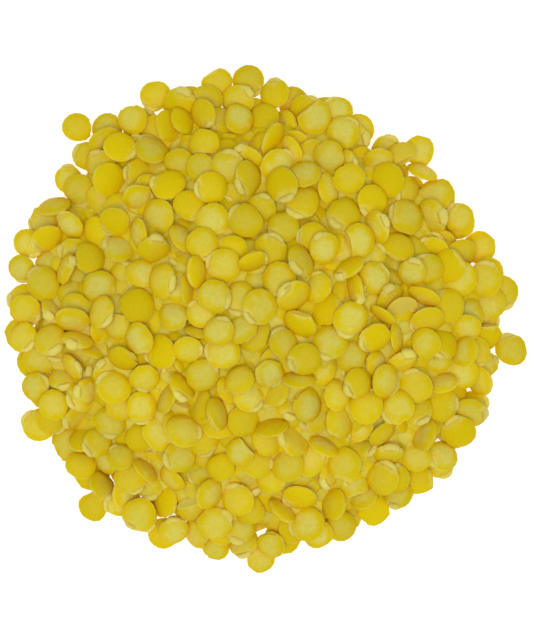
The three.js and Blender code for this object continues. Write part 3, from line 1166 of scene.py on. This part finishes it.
RELIEF = (  # noise, strength, and height in mm
    (grain, 0.4, 0.03), (mottle, 0.5, 0.1), (blotch, 0.5, 0.3),
)
relief = None
for noise, strength, height in RELIEF:
    inputs = {"Height": noise, "Strength": strength, "Distance": height * MM}
    if relief:
        inputs["Normal"] = relief
    relief = add_node(husked, "ShaderNodeBump", inputs)
husked.node_tree.links.new(relief, husked_shader.inputs["Normal"])
print("husked lentil:", len(husked.node_tree.nodes), "nodes")

# %% [markdown]
# ## The buried lentils
#
# The core stands for lentils that only show as a glimpse between the others, so rounded cells
# of a lentil's size are enough detail for it. Its gold is the lentils' own, darkened as painted
# shade, and darker still at the cells' edges, where it stands for the gaps between them.

# %% The buried lentils
# painted shade: the core's dark gold, darkest at the edges of its cells
LUMP_TOP_SHADE = "#E8B400"
LUMP_EDGE_SHADE = "#C89400"
LUMP_SPACING = 3.3  # mm

buried, buried_shader = new_material(  # matt gold in deep shade
    "buried_lentils", roughness=0.7, Specular_IOR_Level=0.1,
)
place = add_node(buried, "ShaderNodeTexCoord", {}, "Object")
lumps = add_node(buried, "ShaderNodeTexVoronoi", {
    "Vector": place, "Scale": 1 / (LUMP_SPACING * MM),
}, "Distance")
shade = add_node(buried, "ShaderNodeMix", {
    0: lumps, MIX_A: linear(LUMP_TOP_SHADE), MIX_B: linear(LUMP_EDGE_SHADE),
}, MIX_RESULT, data_type="RGBA")
buried.node_tree.links.new(shade, buried_shader.inputs["Base Color"])
core.data.materials.append(buried)

# %% [markdown]
# ## Joining the frame
#
# All the pieces ride on the only body, and together they stand for the solid heap.

# %% Riding and replacing
for piece in [*pieces.values(), core]:
    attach(piece, "root")
    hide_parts("lentil_heap")

# %% [markdown]
# ## Floor, light and camera
#
# The heap lies on a white table that glows a little, as a lightbox does, so no shadow shows
# on it. An even white sky and a broad lamp over the near side light the heap softly. The
# camera looks straight down.

# %% Floor
FLOOR_SIZE = 3  # metres
TABLE_WHITE = "#C0C0C0"
TABLE_GLOW = 0.7

bpy.ops.mesh.primitive_plane_add(size=FLOOR_SIZE, location=(0, 0, 0))
floor = bpy.context.object
floor.name = "floor"
white, white_shader = new_material(  # opal acrylic lit from below, even and without a gleam
    "white_lightbox", roughness=0.9, Specular_IOR_Level=0,
)
white_shader.inputs["Base Color"].default_value = linear(TABLE_WHITE)
white_shader.inputs["Emission Color"].default_value = (1, 1, 1, 1)
white_shader.inputs["Emission Strength"].default_value = TABLE_GLOW
floor.data.materials.append(white)
floor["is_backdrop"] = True

# %% Light
SKY_STRENGTH = 0.4
LAMP_PLACE = Vector((-0.02, -0.1, 0.62))  # metres
LAMP_SIZE = 0.3  # metres
LAMP_WATTS = 1.58

world = bpy.data.worlds.new("soft_sky")
world.use_nodes = True
sky = world.node_tree.nodes["Background"]
sky.inputs["Color"].default_value = (1, 1, 1, 1)
sky.inputs["Strength"].default_value = SKY_STRENGTH
bpy.context.scene.world = world

lamp = bpy.data.lights.new("overhead_lamp", "AREA")
lamp.size = LAMP_SIZE
lamp.energy = LAMP_WATTS
lamp_holder = bpy.data.objects.new("overhead_lamp", lamp)
bpy.context.collection.objects.link(lamp_holder)
lamp_holder.location = LAMP_PLACE
lamp_holder.rotation_euler = (-LAMP_PLACE).to_track_quat("-Z", "Y").to_euler()

# %% Camera
PICTURE_HEIGHT = 636  # pixels
HEAP_WIDTH = 523  # pixels of the picture
SHIFT_X, SHIFT_Y = 1, 1  # pixels from the heap's middle to the picture's, right and up
LENS = 100  # mm
SENSOR = 24  # mm, along the picture's longer side
OUTLINE_HEIGHT = 1.2 * MM  # where the lentils at the edge are widest

bpy.context.view_layer.update()
low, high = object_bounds()
pixel = (high.x - low.x) / HEAP_WIDTH
camera = bpy.data.cameras.new("camera")
camera.lens = LENS
camera.sensor_width = SENSOR
camera_holder = bpy.data.objects.new("camera", camera)
bpy.context.collection.objects.link(camera_holder)
camera_holder.location = (
    (low.x + high.x) / 2 + SHIFT_X * pixel,
    (low.y + high.y) / 2 + SHIFT_Y * pixel,
    OUTLINE_HEIGHT + PICTURE_HEIGHT * pixel * LENS / SENSOR,
)
bpy.context.scene.camera = camera_holder
bpy.context.scene.view_settings.view_transform = "Standard"
print("camera", round(camera_holder.location.z, 3), "m up")
